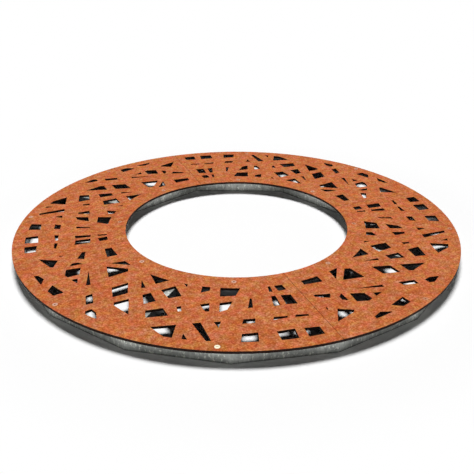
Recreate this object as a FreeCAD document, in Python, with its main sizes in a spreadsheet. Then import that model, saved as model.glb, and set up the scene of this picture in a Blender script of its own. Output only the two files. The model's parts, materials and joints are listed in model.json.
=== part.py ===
import FreeCAD, Part
import Sketcher
import math
import os

from FreeCAD import Placement, Rotation, Vector

# Round tree grate: four laser-cut weathering-steel quarter plates, screwed down
# on a galvanised frame of four bolted quarters. Millimetres, +Z up. The origin is
# on the ground at the tree's centre, and the four seams lie on the X and Y axes.

# Driving sizes, each in millimetres or degrees
SIZES = {
    # The whole grate
    "outer_diameter": 1500,
    "tree_opening_diameter": 765,
    "frame_height": 45,
    # Quarter plates
    "plate_thickness": 8,
    "plate_seam_gap": 1,
    "pattern_outer_margin": 39,
    "pattern_inner_margin": 63,
    # Many-sided rims of the frame, set back under the plate's edges
    "outer_rim_inset": 17,
    "inner_rim_inset": 64,
    "rim_thickness": 5,
    "rim_seam_gap": 1,
    # Radial ribs of the frame
    "seam_rib_thickness": 5,
    "mid_rib_width": 20,
    "mid_rib_height": 40,
    "mid_rib_wall": 2.5,
    # Tapped lugs that carry the plate screws
    "lug_width": 30,
    "lug_reach": 16,
    "lug_thickness": 8,
    # Countersunk plate screws
    "screw_to_rim": 4.6,
    "outer_screw_to_corner": 34,
    "screw_diameter": 8,
    "screw_head_diameter": 16,
    "screw_length": 16,
    "screw_socket_across_flats": 5,
    "screw_socket_depth": 2.5,
    # Hexagon bolts that join the frame quarters through their seam ribs
    "joint_bolt_inset": 75,
    "joint_bolt_height": 22,
    "bolt_diameter": 10,
    "bolt_across_flats": 16,
    "bolt_head_height": 6.4,
    "bolt_nut_height": 8,
    "bolt_tip": 3,
    "washer_diameter": 20,
    "washer_thickness": 2,
    # Fits
    "hole_clearance": 1,
    "thread_clearance": 0.1,
}

QUARTER_TURN = 90
HALF_QUARTER = QUARTER_TURN / 2
QUARTERS = {
    "back_right": 0,
    "back_left": QUARTER_TURN,
    "front_left": 2 * QUARTER_TURN,
    "front_right": 3 * QUARTER_TURN,
}

# The quarter's openings, as drawn in a field between the two radii below. Each line
# is one opening, as its corners in millimetres from the tree's centre, with the
# quarter's middle along +Y. The drawn field is stretched to the real one, whose
# curved edges trim off the corners that lie past it.
DRAWN_FIELD_INNER = 444
DRAWN_FIELD_OUTER = 708.5
OPENINGS = (
    # Along the plate's outer edge
    ((-481, 527), (-449, 557), (-420, 521), (-455, 498)),
    ((-428, 575), (-393, 604), (-360, 564), (-399, 533)),
    ((-341, 636), (-298, 657), (-282, 611), (-318, 588)),
    ((-223, 670), (-211, 676), (-142, 619), (-161, 606)),
    ((-167, 691), (-154, 706), (-142, 669)),
    ((-128, 708), (-125, 712), (-49, 677), (-107, 641)),
    ((95, 709), (128, 712), (150, 682), (141, 666), (119, 676)),
    ((263, 625), (285, 659), (306, 655), (319, 604)),
    ((351, 613), (362, 620), (410, 588), (392, 576), (364, 585)),
    # Across the middle
    ((-294, 550), (-264, 568), (-259, 547), (-287, 530)),
    ((-364, 491), (-333, 519), (-329, 504), (-361, 484)),
    ((-413, 460), (-382, 481), (-379, 470), (-410, 453)),
    ((-260, 483), (-249, 492), (-234, 442), (-240, 442)),
    ((-215, 610), (-192, 590), (-209, 580)),
    ((-159, 549), (-148, 553), (-120, 527), (-141, 510)),
    ((-196, 476), (-200, 520), (-185, 540), (-167, 499)),
    ((-89, 577), (-81, 582), (-66, 564), (-76, 555)),
    ((-67, 611), (-16, 644), (3, 614), (-35, 584)),
    ((-53, 508), (-25, 533), (17, 502), (-11, 466)),
    ((0, 560), (24, 586), (52, 546), (36, 527)),
    ((34, 649), (97, 625), (103, 613), (76, 580)),
    ((64, 508), (74, 516), (98, 473)),
    ((95, 554), (122, 591), (153, 547), (125, 504)),
    ((154, 638), (168, 654), (196, 615), (185, 598)),
    ((219, 557), (229, 566), (270, 494)),
    ((259, 566), (288, 557), (274, 543)),
    ((285, 520), (305, 549), (320, 544), (338, 513), (305, 484)),
    ((314, 461), (341, 491), (346, 473), (333, 461)),
    ((383, 517), (392, 520), (456, 493), (397, 474)),
    ((328, 434), (350, 440), (361, 399), (354, 390)),
    ((400, 446), (408, 452), (412, 450), (405, 443)),
    # Along the tree opening
    ((-366, 414), (-338, 430), (-307, 392), (-332, 377)),
    ((-325, 440), (-310, 453), (-284, 408), (-295, 401)),
    ((-311, 355), (-294, 372), (-268, 349), (-285, 332)),
    ((-280, 384), (-271, 388), (-251, 354), (-257, 350)),
    ((-192, 446), (-153, 467), (-134, 423), (-187, 394)),
    ((-113, 450), (-94, 470), (-82, 434), (-105, 427)),
    ((-45, 459), (-21, 439), (-37, 438)),
    ((16, 438), (48, 478), (94, 432)),
    ((161, 446), (195, 500), (238, 446), (170, 432)),
    ((176, 410), (241, 426), (198, 388)),
    ((245, 367), (270, 394), (309, 350), (290, 331)),
)

doc = FreeCAD.newDocument("tree_grate")
sheet = doc.addObject("Spreadsheet::Sheet", "Sizes")
for row, (name, number) in enumerate(SIZES.items(), start=1):
    sheet.set(f"A{row}", name)
    sheet.set(f"B{row}", str(number))
    sheet.setAlias(f"B{row}", name)
doc.recompute()

nodes = []


def amount(expression):
    """The number that an expression on the sheet gives."""
    result = sheet.evalExpression(expression)
    return getattr(result, "Value", result)


def bind(thing, bindings):
    """Tie each named property of an object to an expression on the sheet."""
    for prop, expression in bindings.items():
        thing.setExpression(prop, expression)


def turned(degrees):
    """A placement that turns about the tree's axis."""
    return Placement(Vector(0, 0, 0), Rotation(Vector(0, 0, 1), degrees))


def node(thing, label):
    """Name a finished sub-part and list it for writing."""
    thing.Label = label
    nodes.append(thing)
    return thing


# Distances from the tree's axis and heights above the ground
PLATE_OUTER = "Sizes.outer_diameter / 2"
PLATE_INNER = "Sizes.tree_opening_diameter / 2"
PLATE_BOTTOM = "Sizes.frame_height"
PLATE_TOP = f"({PLATE_BOTTOM} + Sizes.plate_thickness)"
LUG_BOTTOM = f"({PLATE_BOTTOM} - Sizes.lug_thickness)"
FIELD_OUTER = f"({PLATE_OUTER} - Sizes.pattern_outer_margin)"
FIELD_INNER = f"({PLATE_INNER} + Sizes.pattern_inner_margin)"

# The frame's rims are regular polygons with a corner on every seam. A corner
# radius is measured to a corner, and a face distance square to a flat.
OUTER_RIM_SIDES = 16
INNER_RIM_SIDES = 8
OUTER_HALF_SIDE = 180 / OUTER_RIM_SIDES
INNER_HALF_SIDE = 180 / INNER_RIM_SIDES
OUTER_RIM_CORNER = f"({PLATE_OUTER} - Sizes.outer_rim_inset)"
INNER_RIM_CORNER = f"({PLATE_INNER} + Sizes.inner_rim_inset)"
OUTER_RIM_BACK_CORNER = f"({OUTER_RIM_CORNER} - Sizes.rim_thickness / cos({OUTER_HALF_SIDE}))"
INNER_RIM_BACK_CORNER = f"({INNER_RIM_CORNER} + Sizes.rim_thickness / cos({INNER_HALF_SIDE}))"
OUTER_RIM_FACE = f"({OUTER_RIM_CORNER} * cos({OUTER_HALF_SIDE}))"
INNER_RIM_FACE = f"({INNER_RIM_CORNER} * cos({INNER_HALF_SIDE}))"
INNER_BOLT_RADIUS = f"({INNER_RIM_BACK_CORNER} + Sizes.joint_bolt_inset)"
OUTER_BOLT_RADIUS = f"({OUTER_RIM_BACK_CORNER} - Sizes.joint_bolt_inset)"

# Plate screws stand just clear of the rims' open faces, the outer ones near a corner
OUTER_SCREW_DISTANCE = f"({OUTER_RIM_FACE} + Sizes.screw_to_rim)"
INNER_SCREW_DISTANCE = f"({INNER_RIM_FACE} - Sizes.screw_to_rim)"
OUTER_SCREW_SIDE = f"({OUTER_RIM_CORNER} * sin({OUTER_HALF_SIDE}) - Sizes.outer_screw_to_corner)"

# Holes, and the depth of a screw's 90 degree head
SCREW_HOLE = "(Sizes.screw_diameter + Sizes.hole_clearance)"
TAPPED_HOLE = "(Sizes.screw_diameter + Sizes.thread_clearance)"
BOLT_HOLE = "(Sizes.bolt_diameter + Sizes.hole_clearance)"
HEAD_DEPTH = "((Sizes.screw_head_diameter - Sizes.screw_diameter) / 2)"


def sector(label, inner, outer, seam_gap, base, height):
    """A quarter ring between +X and +Y, as a body with a bound sketch and a pad."""
    body = doc.addObject("PartDesign::Body", label)
    outline = body.newObject("Sketcher::SketchObject", label + "_outline")
    plane = next(p for p in body.Origin.OriginFeatures if p.Role == "XY_Plane")
    outline.AttachmentSupport = [(plane, "")]
    outline.MapMode = "FlatFace"
    outline.setExpression("AttachmentOffset.Base.z", base)

    inset = amount(seam_gap) / 2
    centre = Vector(0, 0, 0)
    upward = Vector(0, 0, 1)
    ends = {}
    for edge, radius in (("outer", amount(outer)), ("inner", amount(inner))):
        reach = math.sqrt(radius ** 2 - inset ** 2)
        ends[edge] = (Vector(reach, inset, 0), Vector(inset, reach, 0))
        tilt = math.asin(inset / radius)
        circle = Part.Circle(centre, upward, radius)
        outline.addGeometry(Part.ArcOfCircle(circle, tilt, math.pi / 2 - tilt), False)
    outline.addGeometry(Part.LineSegment(ends["inner"][0], ends["outer"][0]), False)
    outline.addGeometry(Part.LineSegment(ends["inner"][1], ends["outer"][1]), False)

    outer_arc, inner_arc, x_side, y_side = range(4)
    start, end, middle, origin = 1, 2, 3, -1
    for arc in (outer_arc, inner_arc):
        outline.addConstraint(Sketcher.Constraint("Coincident", arc, middle, origin, start))
    for arc, tip in ((inner_arc, start), (outer_arc, end)):
        outline.addConstraint(Sketcher.Constraint("Coincident", arc, start, x_side, tip))
        outline.addConstraint(Sketcher.Constraint("Coincident", arc, end, y_side, tip))
    outline.addConstraint(Sketcher.Constraint("Horizontal", x_side))
    outline.addConstraint(Sketcher.Constraint("Vertical", y_side))

    half_gap = f"{seam_gap} / 2"
    driven = (
        ("outer_radius", outer, ("Radius", outer_arc)),
        ("inner_radius", inner, ("Radius", inner_arc)),
        ("x_side_inset", half_gap, ("DistanceY", origin, start, x_side, start)),
        ("y_side_inset", half_gap, ("DistanceX", origin, start, y_side, start)),
    )
    for name, expression, geometry in driven:
        index = outline.addConstraint(Sketcher.Constraint(*geometry, amount(expression)))
        outline.renameConstraint(index, name)
        outline.setExpression(f"Constraints.{name}", expression)

    pad = body.newObject("PartDesign::Pad", label + "_pad")
    pad.Profile = outline
    pad.setExpression("Length", height)
    outline.Visibility = False
    return body


def bar(label, start, end, low_side, high_side, bottom, top):
    """A straight box along +X, from its six faces."""
    box = doc.addObject("Part::Box", label)
    bind(box, {
        "Length": f"{end} - {start}",
        "Width": f"{high_side} - {low_side}",
        "Height": f"{top} - {bottom}",
        "Placement.Base.x": start,
        "Placement.Base.y": low_side,
        "Placement.Base.z": bottom,
    })
    return box


def upright_pin(label, diameter, distance, bottom, top, side="0"):
    """A vertical round pin at a distance along +X and to one side along +Y."""
    pin = doc.addObject("Part::Cylinder", label)
    bind(pin, {
        "Radius": f"{diameter} / 2",
        "Height": f"{top} - {bottom}",
        "Placement.Base.x": distance,
        "Placement.Base.y": side,
        "Placement.Base.z": bottom,
    })
    return pin


def crosswise_pin(label, diameter, distance, start, end):
    """A round pin along +Y at the height of the joint bolts."""
    pin = doc.addObject("Part::Cylinder", label)
    pin.Placement = Placement(Vector(0, 0, 0), Rotation(Vector(1, 0, 0), -90))
    bind(pin, {
        "Radius": f"{diameter} / 2",
        "Height": f"{end} - {start}",
        "Placement.Base.x": distance,
        "Placement.Base.y": start,
        "Placement.Base.z": "Sizes.joint_bolt_height",
    })
    return pin


def head_cone(label, distance, top, side="0"):
    """The cone of a countersunk screw's head, widest at its top."""
    cone = doc.addObject("Part::Cone", label)
    bind(cone, {
        "Radius1": "Sizes.screw_diameter / 2",
        "Radius2": "Sizes.screw_head_diameter / 2",
        "Height": HEAD_DEPTH,
        "Placement.Base.x": distance,
        "Placement.Base.y": side,
        "Placement.Base.z": f"{top} - {HEAD_DEPTH}",
    })
    return cone


def polygon_block(label, sides, corner_radius, bottom, top):
    """A regular upright prism on the Z axis, with a corner on +X."""
    prism = doc.addObject("Part::Prism", label)
    prism.Polygon = sides
    bind(prism, {
        "Circumradius": corner_radius,
        "Height": f"{top} - {bottom}",
        "Placement.Base.z": bottom,
    })
    return prism


def hexagon(label, across_flats, bottom, top):
    """A hexagonal block on the Z axis."""
    return polygon_block(label, 6, f"{across_flats} / sqrt(3)", bottom, top)


def cut(label, base, tool):
    """One object less another."""
    result = doc.addObject("Part::Cut", label)
    result.Base = base
    result.Tool = tool
    return result


def common(label, base, tool):
    """What two objects share."""
    result = doc.addObject("Part::Common", label)
    result.Base = base
    result.Tool = tool
    return result


def joined(label, things):
    """Several objects as one solid."""
    result = doc.addObject("Part::MultiFuse", label)
    result.Shapes = things
    return result


def group(label, things):
    """Several objects kept as separate solids."""
    result = doc.addObject("Part::Compound", label)
    result.Links = things
    return result


def copies(thing, label, placements):
    """A node that repeats one finished piece, as separate solids."""
    doc.recompute()
    repeated = doc.addObject("Part::Feature", label)
    shapes = []
    for placement in placements:
        shape = thing.Shape.copy()
        shape.Placement = placement.multiply(thing.Placement)
        shapes.append(shape)
    repeated.Shape = Part.makeCompound(shapes)
    return node(repeated, label)


def pattern_prisms():
    """One upright prism for each opening, which follows the pattern's field."""
    inner = amount(FIELD_INNER)
    outer = amount(FIELD_OUTER)
    stretch = (outer - inner) / (DRAWN_FIELD_OUTER - DRAWN_FIELD_INNER)
    floor = amount(PLATE_BOTTOM)
    prisms = []
    for corners in OPENINGS:
        points = []
        for x, y in corners:
            drawn = math.hypot(x, y)
            radius = inner + (drawn - DRAWN_FIELD_INNER) * stretch
            points.append(Vector(x / drawn * radius, y / drawn * radius, floor))
        face = Part.Face(Part.makePolygon(points + points[:1]))
        prisms.append(face.extrude(Vector(0, 0, amount("Sizes.plate_thickness"))))
    holder = doc.addObject("Part::Feature", "opening_prisms")
    holder.Shape = Part.makeCompound(prisms)
    holder.Placement = turned(-HALF_QUARTER)
    return holder


def screw_spots():
    """Each plate screw of a quarter: number, edge, distance square to its flat of
    the rim, place along that flat, and the direction that the flat faces."""
    spots = []
    edges = (
        ("outer", OUTER_SCREW_DISTANCE, OUTER_SCREW_SIDE, OUTER_HALF_SIDE),
        ("inner", INNER_SCREW_DISTANCE, "0", INNER_HALF_SIDE),
    )
    for edge, distance, side, half_side in edges:
        for number, sign in ((1, -1), (2, 1)):
            facing = HALF_QUARTER + sign * half_side
            spots.append((number, edge, distance, f"({sign} * {side})", facing))
    return spots


def countersunk_hole(name, distance, side):
    """The space that one plate screw takes in the plate."""
    shank = upright_pin(f"hole_{name}", SCREW_HOLE, distance, PLATE_BOTTOM, PLATE_TOP, side)
    cone = head_cone(f"countersink_{name}", distance, PLATE_TOP, side)
    return joined(f"screw_space_{name}", [shank, cone])


def make_plates():
    """The four quarter plates with their openings and countersunk holes."""
    blank = sector("plate_blank", PLATE_INNER, PLATE_OUTER, "Sizes.plate_seam_gap",
                   PLATE_BOTTOM, "Sizes.plate_thickness")
    field = sector("pattern_field", FIELD_INNER, FIELD_OUTER, "Sizes.plate_seam_gap",
                   PLATE_BOTTOM, "Sizes.plate_thickness")
    pattern = common("pattern", field, pattern_prisms())
    spaces = []
    for number, edge, distance, side, facing in screw_spots():
        space = countersunk_hole(f"{edge}_{number}", distance, side)
        space.Placement = turned(facing)
        spaces.append(space)
    tools = group("plate_cuts", [pattern] + spaces)
    for place, degrees in QUARTERS.items():
        plate = cut(f"plate_{place}", blank, tools)
        plate.Placement = turned(degrees)
        node(plate, f"plate_{place}")


def make_rims():
    """Flat bar on edge, bent to a polygon: under the plate's edge and round the tree."""
    quadrant = bar("quadrant", "Sizes.rim_seam_gap / 2", PLATE_OUTER,
                   "Sizes.rim_seam_gap / 2", PLATE_OUTER, "0", PLATE_BOTTOM)
    rims = (
        ("outer_rim", OUTER_RIM_SIDES, OUTER_RIM_CORNER, OUTER_RIM_BACK_CORNER),
        ("inner_rim", INNER_RIM_SIDES, INNER_RIM_BACK_CORNER, INNER_RIM_CORNER),
    )
    for rim, sides, outside, inside in rims:
        ring = cut(rim + "_ring",
                   polygon_block(rim + "_outside", sides, outside, "0", PLATE_BOTTOM),
                   polygon_block(rim + "_inside", sides, inside, "0", PLATE_BOTTOM))
        for place, degrees in QUARTERS.items():
            label = f"{rim}_{place}"
            quarter = common(label, ring, quadrant)
            quarter.Placement = turned(degrees)
            node(quarter, label)


def make_rib_space():
    """The space between the two rims, which trims the ribs' ends to their corners."""
    inside_outer_rim = polygon_block("inside_outer_rim", OUTER_RIM_SIDES,
                                     OUTER_RIM_BACK_CORNER, "0", PLATE_BOTTOM)
    behind_inner_rim = polygon_block("behind_inner_rim", INNER_RIM_SIDES,
                                     INNER_RIM_BACK_CORNER, "0", PLATE_BOTTOM)
    return cut("rib_space", inside_outer_rim, behind_inner_rim)


def make_mid_ribs(rib_space):
    """Rectangular tube on edge under the middle of each plate, top against it."""
    half = "Sizes.mid_rib_width / 2"
    wall = "Sizes.mid_rib_wall"
    bottom = f"({PLATE_BOTTOM} - Sizes.mid_rib_height)"
    outside = bar("mid_rib_outside", PLATE_INNER, PLATE_OUTER,
                  f"-{half}", half, bottom, PLATE_BOTTOM)
    bore = bar("mid_rib_bore", PLATE_INNER, PLATE_OUTER,
               f"({wall} - {half})", f"({half} - {wall})",
               f"({bottom} + {wall})", f"({PLATE_BOTTOM} - {wall})")
    tube = cut("mid_rib_tube", outside, bore)
    for place, degrees in QUARTERS.items():
        label = f"mid_rib_{place}"
        rib = common(label, tube, rib_space)
        rib.Placement = turned(degrees + HALF_QUARTER)
        node(rib, label)


def make_seam_ribs(rib_space):
    """Flat bars on edge, back to back along each seam, drilled for the bolts."""
    thickness = "Sizes.seam_rib_thickness"
    sides = (("first", "0", thickness, 0), ("second", f"-{thickness}", "0", QUARTER_TURN))
    for side, low, high, turn in sides:
        flat = bar(f"seam_rib_{side}_flat", PLATE_INNER, PLATE_OUTER,
                   low, high, "0", PLATE_BOTTOM)
        holes = group(f"seam_rib_{side}_holes", [
            crosswise_pin(f"seam_rib_{side}_hole_{number}", BOLT_HOLE, radius, low, high)
            for number, radius in enumerate((INNER_BOLT_RADIUS, OUTER_BOLT_RADIUS))
        ])
        drilled = cut(f"seam_rib_{side}_drilled", flat, holes)
        for place, degrees in QUARTERS.items():
            label = f"seam_rib_{place}_{side}"
            rib = common(label, drilled, rib_space)
            rib.Placement = turned(degrees + turn)
            node(rib, label)


def make_lugs():
    """Small tapped tabs welded to the rims' open faces, one under each plate screw."""
    half = "Sizes.lug_width / 2"
    spans = {
        "outer": (OUTER_RIM_FACE, f"({OUTER_RIM_FACE} + Sizes.lug_reach)"),
        "inner": (f"({INNER_RIM_FACE} - Sizes.lug_reach)", INNER_RIM_FACE),
    }
    for place, degrees in QUARTERS.items():
        for number, edge, distance, side, facing in screw_spots():
            label = f"{edge}_lug_{place}_{number}"
            tab = bar(label + "_tab", *spans[edge], f"({side} - {half})",
                      f"({side} + {half})", LUG_BOTTOM, PLATE_BOTTOM)
            hole = upright_pin(label + "_hole", TAPPED_HOLE, distance,
                               LUG_BOTTOM, PLATE_BOTTOM, side)
            lug = cut(label, tab, hole)
            lug.Placement = turned(degrees + facing)
            node(lug, label)


def make_plate_screws():
    """Countersunk screws flush with the plate, each in its lug's thread."""
    shank = upright_pin("screw_shank", "Sizes.screw_diameter", "0",
                        "-Sizes.screw_length", "0")
    head = head_cone("screw_head", "0", "0")
    socket = hexagon("screw_socket", "Sizes.screw_socket_across_flats",
                     "-Sizes.screw_socket_depth", "0")
    screw = cut("screw", joined("screw_body", [shank, head]), socket)
    placements = []
    for degrees in QUARTERS.values():
        for _, _, distance, side, facing in screw_spots():
            spot = Vector(amount(distance), amount(side), amount(PLATE_TOP))
            placements.append(turned(degrees + facing).multiply(Placement(spot, Rotation())))
    copies(screw, "plate_screws", placements)


def make_joint_bolts():
    """Hexagon bolts, washers and nuts through the paired seam ribs."""
    rib = "Sizes.seam_rib_thickness"
    washer = "Sizes.washer_thickness"
    bolt_length = (f"({rib} * 2 + {washer} * 2 + Sizes.bolt_nut_height"
                   " + Sizes.bolt_tip)")
    nut_bore = "(Sizes.bolt_diameter + Sizes.thread_clearance)"
    bolt = joined("joint_bolt", [
        hexagon("joint_bolt_head", "Sizes.bolt_across_flats", "-Sizes.bolt_head_height", "0"),
        upright_pin("joint_bolt_shank", "Sizes.bolt_diameter", "0", "0", bolt_length),
    ])
    ring = cut("joint_washer",
               upright_pin("joint_washer_disc", "Sizes.washer_diameter", "0", "0", washer),
               upright_pin("joint_washer_bore", BOLT_HOLE, "0", "0", washer))
    nut = cut("joint_nut",
              hexagon("joint_nut_block", "Sizes.bolt_across_flats", "0",
                      "Sizes.bolt_nut_height"),
              upright_pin("joint_nut_bore", nut_bore, "0", "0", "Sizes.bolt_nut_height"))

    sets = (
        ("joint_bolts", bolt, (f"-({rib} + {washer})",)),
        ("joint_washers", ring, (f"-({rib} + {washer})", rib)),
        ("joint_nuts", nut, (f"({rib} + {washer})",)),
    )
    across_seam = Rotation(Vector(1, 0, 0), -90)
    height = amount("Sizes.joint_bolt_height")
    for label, piece, offsets in sets:
        placements = []
        for degrees in QUARTERS.values():
            for radius in (INNER_BOLT_RADIUS, OUTER_BOLT_RADIUS):
                for offset in offsets:
                    spot = Vector(amount(radius), amount(offset), height)
                    placements.append(turned(degrees).multiply(Placement(spot, across_seam)))
        copies(piece, label, placements)


make_plates()
make_rims()
rib_space = make_rib_space()
make_mid_ribs(rib_space)
make_seam_ribs(rib_space)
make_lugs()
make_plate_screws()
make_joint_bolts()
doc.recompute()

for thing in doc.Objects:
    if "Invalid" in thing.State or "Error" in thing.State:
        raise RuntimeError(f"{thing.Label} failed: {thing.State}")
os.makedirs("parts", exist_ok=True)
for thing in nodes:
    if thing.Shape.isNull() or not thing.Shape.isValid():
        raise RuntimeError(f"{thing.Label} has a bad shape")
    thing.Shape.exportStep(f"parts/{thing.Label}.step")
    print(f"{thing.Label}: {len(thing.Shape.Solids)} solid, {thing.Shape.Volume / 1000:.1f} cm3")
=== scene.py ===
import json
import math

import bpy
from mathutils import Euler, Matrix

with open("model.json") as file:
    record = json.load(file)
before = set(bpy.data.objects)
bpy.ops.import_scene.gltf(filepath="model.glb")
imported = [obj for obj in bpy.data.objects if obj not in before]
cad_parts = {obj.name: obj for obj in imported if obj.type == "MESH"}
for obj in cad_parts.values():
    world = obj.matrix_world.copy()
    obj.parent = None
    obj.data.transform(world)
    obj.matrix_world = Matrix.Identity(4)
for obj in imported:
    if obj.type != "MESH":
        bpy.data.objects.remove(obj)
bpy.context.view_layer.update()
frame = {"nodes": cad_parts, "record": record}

# Metres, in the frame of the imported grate: +Z up, the origin on the ground at the
# tree's centre, and the seams between the quarter plates on the X and Y axes.

# Camera of the photograph
LENS_MM = 50.52
SENSOR_MM = 36
CAMERA_PLACE = (-0.7660, -1.9547, 1.0398)
CAMERA_PITCH = 26.416
CAMERA_TURN = -21.5
LENS_SHIFT = (-0.0011, 0.0)

# Light: a broad lamp overhead, and a trace from all round that grows near the horizon
LAMP_PLACE = (-0.1, 0.1, 10.0)
LAMP_WIDTH = 3.5
LAMP_WATTS = 990
FILL_SHARE = 0.01
HORIZON_SHARE = 0.5
HORIZON_HEIGHT = 0.35

# Stage: lit by the lamp near the grate, and as bright by itself beyond
FLOOR_WIDTH = 60
FLOOR_SEEN = 1.0
FLOOR_BOUNCE = 0.72
LIT_RADIUS = (0.82, 1.1)

# Edges of the cut plate and the flat bars
EDGE_ROUNDING = 0.0004
EDGE_SEGMENTS = 2
WELD_REACH = 0.00001
FLAT_ANGLE = math.radians(1)
BEVEL_ANGLE = math.radians(30)

# Which way a face looks, by the upright part of its normal
LEVEL_FACE = 0.5

# Rust: a grainy orange between brown and pale orange, tinted in patches
RUST_DARK = (0.320, 0.062, 0.010)
RUST_MAIN = (0.515, 0.142, 0.044)
RUST_PALE = (0.780, 0.270, 0.125)
RUST_PLACES = (0.30, 0.50, 0.70)
RUST_BROWN = (0.20, 0.055, 0.024)
GRAIN_SIZE = 0.005
BLOT_SIZE = 0.015
PATCH_SIZE = 0.040
GRAIN_SHARE = 0.92
BLOT_SHARE = 0.40
PATCH_SHARE = 0.24
LEVEL_OFFSET = -0.28
RUST_RELIEF = 0.0006
RUST_SPECULAR = 0.2
RUST_ROUGHNESS = ((0.3, 0.75), (0.7, 0.95))

# Size of the patches, then their tints: redder or yellower, and ochre or pink
RUST_TINTS = (
    (0.020, (1.09, 0.90, 0.86), (0.91, 1.10, 1.05)),
    (0.026, (1.0, 1.05, 0.68), (1.0, 0.95, 1.25)),
)
TINT_PLACES = (0.35, 0.65)

# The plates' cut edges, dark cut scale with painted shade on the upright sides, and their
# underside, dark mill scale with painted shade
CUT_EDGE_SCALE_AND_SHADE = (0.008, 0.0035, 0.002)
CUT_EDGE_STAIN = 0.12
MILL_SCALE_AND_SHADE = (0.035, 0.036, 0.040)
UNDERSIDE_STAIN = ((0.55, 0), (0.62, 0.6))

# Zinc, bright on the open faces, with painted shade making the faces between the rims near-black
ZINC_DARK = (0.34, 0.355, 0.335)
ZINC_LIGHT = (0.65, 0.67, 0.63)
ZINC_PLACES = (0.40, 0.85)
ZINC_FLECK = (0.96, 0.98, 0.88)
# Painted shade: the near-black colour of the faces between the rims
ZINC_PAINTED_SHADE = (0.13, 0.13, 0.13)
ZINC_METALLIC = 0.5
ZINC_ROUGHNESS = ((0, 0.36), (1, 0.50))
ZINC_RELIEF = 0.0003
SPANGLE_SIZE = 0.014
SPANGLE_SHARE = 0.2
STREAK_SIZE = 0.018
FLECK_SIZE = 0.006
FLECK_RANGE = (0.56, 0.70)
FLECK_SHARE = 0.8
# Painted shade: the heights over which the zinc darkens towards the foot, and how dark it gets
FOOT_SHADE_HEIGHTS = (0, 0.007)
FOOT_SHADE_SHARE = 0.45
RIMS_MIDDLE = 0.58
INSIDE_BAND = (0.417, 0.7275)

# Screws: one at the front is clean, and the others carry more or less rust
SCREW_CLEAN = (0.90, 0.84, 0.62)
SCREW_STAINED = (0.60, 0.33, 0.23)
SCREW_RUSTED = (0.50, 0.20, 0.09)
SCREW_PLACES = (0.40, 0.58)
SCREW_METALLIC = 0.3
SCREW_RELIEF = 0.0001
CLEAN_SCREW_PLACE = (-0.3115, -0.662, 0.053)
CLEAN_REACH = (0.03, 0.05)
STAIN_SIZE = 0.25
MARK_SIZE = 0.0015
MARK_SHADE = ((0.3, 0.90), (0.7, 1.04))
MARK_ROUGHNESS = ((0.3, 0.40), (0.7, 0.55))


def material(name):
    """A new node material, with its tree and its shader."""
    made = bpy.data.materials.new(name)
    made.use_nodes = True
    tree = made.node_tree
    return made, tree, tree.nodes["Principled BSDF"]


def add(tree, kind, **settings):
    """A node with its settings, where a setting that names an input fills that input."""
    made = tree.nodes.new(kind)
    for name, value in settings.items():
        if hasattr(made, name):
            setattr(made, name, value)
        else:
            made.inputs[name].default_value = value
    return made


def coordinates(tree, kind):
    """One kind of texture coordinates, such as the place on the object."""
    return add(tree, "ShaderNodeTexCoord").outputs[kind]


def upright_part(tree, vector):
    """The Z of a vector."""
    parts = add(tree, "ShaderNodeSeparateXYZ")
    tree.links.new(vector, parts.inputs["Vector"])
    return parts.outputs["Z"]


def object_place(tree, size, stretch=(1, 1, 1)):
    """Coordinates on the object, in units of the given size in metres."""
    mapping = add(tree, "ShaderNodeMapping")
    mapping.inputs["Scale"].default_value = [way / size for way in stretch]
    tree.links.new(coordinates(tree, "Object"), mapping.inputs["Vector"])
    return mapping.outputs["Vector"]


def noise(tree, size, detail=3, roughness=0.6, stretch=(1, 1, 1)):
    """Soft noise, whose blobs are about the given size across."""
    made = add(tree, "ShaderNodeTexNoise", Detail=detail, Roughness=roughness)
    made.inputs["Scale"].default_value = 1
    tree.links.new(object_place(tree, size, stretch), made.inputs["Vector"])
    return made.outputs["Fac"]


def grey(level):
    return (level, level, level)


def steps(tree, value, stops):
    """A value turned into a colour by a ramp of (place, colour or grey level) stops."""
    ramp = add(tree, "ShaderNodeValToRGB")
    elements = ramp.color_ramp.elements
    while len(elements) < len(stops):
        elements.new(0.5)
    for element, (place, colour) in zip(elements, stops):
        element.position = place
        element.color = (*(colour if isinstance(colour, tuple) else grey(colour)), 1)
    tree.links.new(value, ramp.inputs["Fac"])
    return ramp.outputs["Color"]


def mixed(tree, share, first, second, blend="MIX"):
    """Two colours mixed by a share, where each may be a socket or a constant."""
    made = add(tree, "ShaderNodeMix", data_type="RGBA", blend_type=blend)
    for index, value in ((0, share), (6, first), (7, second)):
        socket = made.inputs[index]
        if isinstance(value, bpy.types.NodeSocket):
            tree.links.new(value, socket)
        elif index:
            socket.default_value = (*value, 1)
        else:
            socket.default_value = value
    return made.outputs[2]


def computed(tree, operation, first, second=0.0, third=0.0):
    """One step of arithmetic, where each value may be a socket or a number."""
    made = add(tree, "ShaderNodeMath", operation=operation)
    for socket, value in zip(made.inputs, (first, second, third)):
        if isinstance(value, bpy.types.NodeSocket):
            tree.links.new(value, socket)
        else:
            socket.default_value = value
    return made.outputs["Value"]


def ranged(tree, value, source, target=(0, 1)):
    """A value taken smoothly from one range to another and held at its ends."""
    made = add(tree, "ShaderNodeMapRange", interpolation_type="SMOOTHSTEP")
    for name, level in zip(("From Min", "From Max", "To Min", "To Max"), (*source, *target)):
        made.inputs[name].default_value = level
    tree.links.new(value, made.inputs["Value"])
    return made.outputs["Result"]


def bumped(tree, shader, height, distance):
    """Relief from a height between 0 and 1, in metres."""
    bump = add(tree, "ShaderNodeBump", Strength=1.0, Distance=distance)
    tree.links.new(height, bump.inputs["Height"])
    tree.links.new(bump.outputs["Normal"], shader.inputs["Normal"])


def faces(tree):
    """How far a face looks up: 1 on top, 0 on upright faces and -1 underneath."""
    return upright_part(tree, coordinates(tree, "Normal"))


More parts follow.
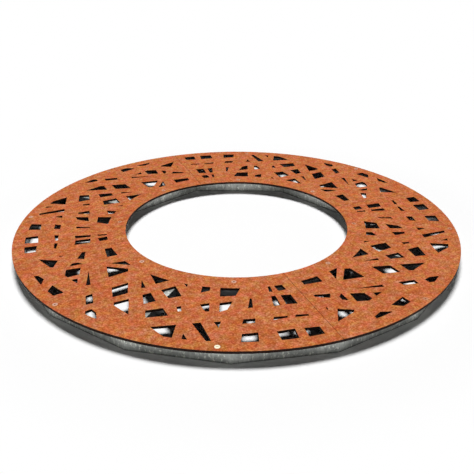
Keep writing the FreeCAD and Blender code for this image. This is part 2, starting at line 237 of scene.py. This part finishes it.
def level_part(tree, kind):
    """Coordinates of one kind without their Z."""
    level = add(tree, "ShaderNodeVectorMath", operation="MULTIPLY")
    level.inputs[1].default_value = (1, 1, 0)
    tree.links.new(coordinates(tree, kind), level.inputs[0])
    return level.outputs["Vector"]


def radius_of(tree):
    """Distance from the upright line through the tree's centre."""
    radius = add(tree, "ShaderNodeVectorMath", operation="LENGTH")
    tree.links.new(level_part(tree, "Object"), radius.inputs[0])
    return radius.outputs["Value"]


def painted_shade_faces(tree):
    """1 on the upright faces that look into the space between the rims, where shade is painted,
    else 0.
    """
    radius = radius_of(tree)
    outward = add(tree, "ShaderNodeVectorMath", operation="DOT_PRODUCT")
    for kind, socket in zip(("Object", "Normal"), outward.inputs):
        tree.links.new(level_part(tree, kind), socket)
    outward = computed(tree, "DIVIDE", outward.outputs["Value"], radius)
    side = computed(tree, "SIGN", computed(tree, "SUBTRACT", radius, RIMS_MIDDLE))
    closed = computed(tree, "LESS_THAN", computed(tree, "MULTIPLY", outward, side), LEVEL_FACE)
    upright = computed(tree, "LESS_THAN", computed(tree, "ABSOLUTE", faces(tree)), LEVEL_FACE)
    low, high = INSIDE_BAND
    within = computed(tree, "MULTIPLY", computed(tree, "GREATER_THAN", radius, low),
                      computed(tree, "LESS_THAN", radius, high))
    return computed(tree, "MULTIPLY", computed(tree, "MULTIPLY", closed, upright), within)


def weathering_steel():
    """Orange-brown rust, with dark laser-cut edges and dark mill scale underneath, both made darker
    still as painted shade.
    """
    made, tree, shader = material("weathering_steel")
    patches = noise(tree, PATCH_SIZE, detail=2)
    blots = noise(tree, BLOT_SIZE, detail=2)
    grain = noise(tree, GRAIN_SIZE, detail=2, roughness=0.7)
    level = computed(tree, "MULTIPLY_ADD", grain, GRAIN_SHARE, LEVEL_OFFSET)
    level = computed(tree, "MULTIPLY_ADD", blots, BLOT_SHARE, level)
    level = computed(tree, "MULTIPLY_ADD", patches, PATCH_SHARE, level)
    rust = steps(tree, level, tuple(zip(RUST_PLACES, (RUST_DARK, RUST_MAIN, RUST_PALE))))
    for size, first, second in RUST_TINTS:
        hue = noise(tree, size, detail=2, roughness=0.55)
        tint = steps(tree, hue, tuple(zip(TINT_PLACES, (first, second))))
        rust = mixed(tree, 1.0, rust, tint, "MULTIPLY")

    up = faces(tree)
    # Painted shade with cut scale: the upright cut edges are near-black
    edge = mixed(tree, computed(tree, "MULTIPLY", grain, CUT_EDGE_STAIN), CUT_EDGE_SCALE_AND_SHADE, RUST_BROWN)
    # Mill scale with painted shade: the underside is nearly black
    below = mixed(tree, steps(tree, patches, UNDERSIDE_STAIN), MILL_SCALE_AND_SHADE, RUST_BROWN)
    colour = mixed(tree, computed(tree, "GREATER_THAN", up, LEVEL_FACE), edge, rust)
    colour = mixed(tree, computed(tree, "LESS_THAN", up, -LEVEL_FACE), colour, below)
    tree.links.new(colour, shader.inputs["Base Color"])
    tree.links.new(steps(tree, patches, RUST_ROUGHNESS), shader.inputs["Roughness"])
    shader.inputs["Metallic"].default_value = 0
    shader.inputs["Specular IOR Level"].default_value = RUST_SPECULAR
    bumped(tree, shader, grain, RUST_RELIEF)
    return made


def galvanised_steel():
    """Dull zinc: spangle, paler flecks and runs down the bars' faces, with painted shade at the
    foot and on the faces between the rims.
    """
    made, tree, shader = material("galvanised_steel")
    cells = add(tree, "ShaderNodeTexVoronoi")
    cells.inputs["Scale"].default_value = 1
    tree.links.new(object_place(tree, SPANGLE_SIZE), cells.inputs["Vector"])
    spangle = add(tree, "ShaderNodeSeparateColor")
    tree.links.new(cells.outputs["Color"], spangle.inputs["Color"])
    runs = noise(tree, STREAK_SIZE, detail=4, roughness=0.75, stretch=(1, 1, 0.2))
    cloud = computed(tree, "MULTIPLY_ADD", spangle.outputs["Red"], SPANGLE_SHARE, runs)
    zinc = steps(tree, cloud, tuple(zip(ZINC_PLACES, (ZINC_DARK, ZINC_LIGHT))))
    flecks = noise(tree, FLECK_SIZE, detail=2, roughness=0.5, stretch=(1, 1, 0.6))
    zinc = mixed(tree, ranged(tree, flecks, FLECK_RANGE, (0, FLECK_SHARE)), zinc, ZINC_FLECK)
    # Painted shade: the faces between the rims turn near-black
    zinc = mixed(tree, painted_shade_faces(tree), zinc, ZINC_PAINTED_SHADE)
    # Painted shade: darker towards the bottom of each face, as a contact shadow at the foot
    height = upright_part(tree, coordinates(tree, "Object"))
    foot_shade = ranged(tree, height, FOOT_SHADE_HEIGHTS, (FOOT_SHADE_SHARE, 1))
    zinc = mixed(tree, 1.0, zinc, foot_shade, "MULTIPLY")
    tree.links.new(zinc, shader.inputs["Base Color"])
    rough = steps(tree, spangle.outputs["Green"], ZINC_ROUGHNESS)
    tree.links.new(rough, shader.inputs["Roughness"])
    shader.inputs["Metallic"].default_value = ZINC_METALLIC
    bumped(tree, shader, runs, ZINC_RELIEF)
    return made


def stainless_steel():
    """Screw steel with turning marks, under a film of rust that varies from screw to screw."""
    made, tree, shader = material("stainless_steel")
    film = noise(tree, STAIN_SIZE, detail=1)
    film = steps(tree, film, tuple(zip(SCREW_PLACES, (SCREW_STAINED, SCREW_RUSTED))))
    away = add(tree, "ShaderNodeVectorMath", operation="DISTANCE")
    away.inputs[1].default_value = CLEAN_SCREW_PLACE
    tree.links.new(coordinates(tree, "Object"), away.inputs[0])
    stained = ranged(tree, away.outputs["Value"], CLEAN_REACH)
    colour = mixed(tree, stained, SCREW_CLEAN, film)
    marks = noise(tree, MARK_SIZE, detail=2, stretch=(1, 1, 6))
    shade = steps(tree, marks, MARK_SHADE)
    tree.links.new(mixed(tree, 1.0, colour, shade, "MULTIPLY"), shader.inputs["Base Color"])
    tree.links.new(steps(tree, marks, MARK_ROUGHNESS), shader.inputs["Roughness"])
    shader.inputs["Metallic"].default_value = SCREW_METALLIC
    bumped(tree, shader, marks, SCREW_RELIEF)
    return made


def finish_edges(thing):
    """Joins the flat faces of a cut piece, then rounds its sharp edges a little."""
    thing.modifiers.new("weld", "WELD").merge_threshold = WELD_REACH
    flat = thing.modifiers.new("flat_faces", "DECIMATE")
    flat.decimate_type = "DISSOLVE"
    flat.angle_limit = FLAT_ANGLE
    bevel = thing.modifiers.new("edge_rounding", "BEVEL")
    bevel.width = EDGE_ROUNDING
    bevel.segments = EDGE_SEGMENTS
    bevel.limit_method = "ANGLE"
    bevel.angle_limit = BEVEL_ANGLE


def dress_nodes():
    """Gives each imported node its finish."""
    finishes = {
        "weathering_steel": weathering_steel(),
        "galvanised_steel": galvanised_steel(),
        "stainless_steel": stainless_steel(),
    }
    for part in frame["record"]["subparts"]:
        thing = frame["nodes"][part["node"]]
        thing.data.materials.clear()
        thing.data.materials.append(finishes[part["material_slot"]])
        finish_edges(thing)


def seen_straight(tree):
    """1 for what the camera sees, mirrored and through glass too, and 0 for other light."""
    path = add(tree, "ShaderNodeLightPath")
    seen = computed(tree, "MAXIMUM", path.outputs["Is Camera Ray"], path.outputs["Is Glossy Ray"])
    return computed(tree, "MAXIMUM", seen, path.outputs["Is Transmission Ray"])


def make_floor():
    """A white floor that keeps the grate's shadow and throws some light back up."""
    bpy.ops.mesh.primitive_plane_add(size=FLOOR_WIDTH)
    floor = bpy.context.object
    floor.name = "floor"
    made, tree, shader = material("floor_white")
    colour = mixed(tree, seen_straight(tree), grey(FLOOR_BOUNCE), grey(FLOOR_SEEN))
    far = ranged(tree, radius_of(tree), LIT_RADIUS)
    tree.links.new(mixed(tree, far, colour, grey(0)), shader.inputs["Base Color"])
    tree.links.new(mixed(tree, far, grey(0), colour), shader.inputs["Emission Color"])
    shader.inputs["Emission Strength"].default_value = 1
    shader.inputs["Roughness"].default_value = 1
    shader.inputs["Specular IOR Level"].default_value = 0
    floor.data.materials.append(made)


def light_world():
    """White where it is seen, mirrored or looked through, and a fill from low down for the rest."""
    world = bpy.data.worlds.new("surroundings")
    world.use_nodes = True
    bpy.context.scene.world = world
    tree = world.node_tree
    background = tree.nodes["Background"]
    height = upright_part(tree, coordinates(tree, "Generated"))
    fill = ranged(tree, height, (0, HORIZON_HEIGHT), (HORIZON_SHARE, FILL_SHARE))
    strength = computed(tree, "MAXIMUM", seen_straight(tree), fill)
    tree.links.new(strength, background.inputs["Strength"])
    background.inputs["Color"].default_value = (1, 1, 1, 1)


def hang_lamp():
    """A broad lamp overhead, at a level where colours render about as written."""
    lamp = bpy.data.lights.new("overhead", "AREA")
    lamp.shape = "DISK"
    lamp.size = LAMP_WIDTH
    lamp.energy = LAMP_WATTS
    holder = bpy.data.objects.new("overhead", lamp)
    holder.location = LAMP_PLACE
    bpy.context.scene.collection.objects.link(holder)


def place_camera():
    """The photograph's view."""
    camera = bpy.data.cameras.new("camera")
    camera.lens = LENS_MM
    camera.sensor_width = SENSOR_MM
    camera.shift_x, camera.shift_y = LENS_SHIFT
    holder = bpy.data.objects.new("camera", camera)
    holder.location = CAMERA_PLACE
    holder.rotation_euler = Euler((math.radians(90 - CAMERA_PITCH), 0, math.radians(CAMERA_TURN)))
    bpy.context.scene.collection.objects.link(holder)
    bpy.context.scene.camera = holder


place_camera()
make_floor()
light_world()
hang_lamp()
dress_nodes()
bpy.context.scene.view_settings.view_transform = "Standard"
